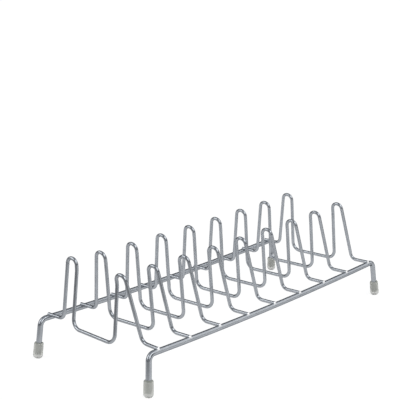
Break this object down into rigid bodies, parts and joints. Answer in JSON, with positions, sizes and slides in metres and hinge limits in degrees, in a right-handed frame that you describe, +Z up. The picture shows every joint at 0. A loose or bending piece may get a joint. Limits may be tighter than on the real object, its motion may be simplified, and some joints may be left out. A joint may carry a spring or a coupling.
{
  "type": "plate rack",
  "caption": "Low free-standing wire rack that holds dinner plates upright between two rows of bent wire fingers, standing on clear push-on foot caps.",
  "frame": {"origin": "centre of the footprint, on the surface that the foot caps stand on", "axes": "+X across the rack to its right rail, +Y along the rails from the first cross wire to the last, +Z up"},
  "size_m": [0.1344, 0.3334, 0.0924],
  "materials": {
    "silver_steel": "satin silver metallic coating on steel wire",
    "clear_vinyl": "soft clear vinyl, faintly yellow, satin"
  },
  "bodies": {
    "root": {"rail_left": "silver_steel", "rail_right": "silver_steel", "wire_1": "silver_steel", "wire_2": "silver_steel", "wire_3": "silver_steel", "wire_4": "silver_steel", "wire_5": "silver_steel", "wire_6": "silver_steel", "wire_7": "silver_steel", "wire_8": "silver_steel", "wire_9": "silver_steel", "cap_front_left": "clear_vinyl", "cap_front_right": "clear_vinyl", "cap_back_left": "clear_vinyl", "cap_back_right": "clear_vinyl"}
  },
  "joints": []
}
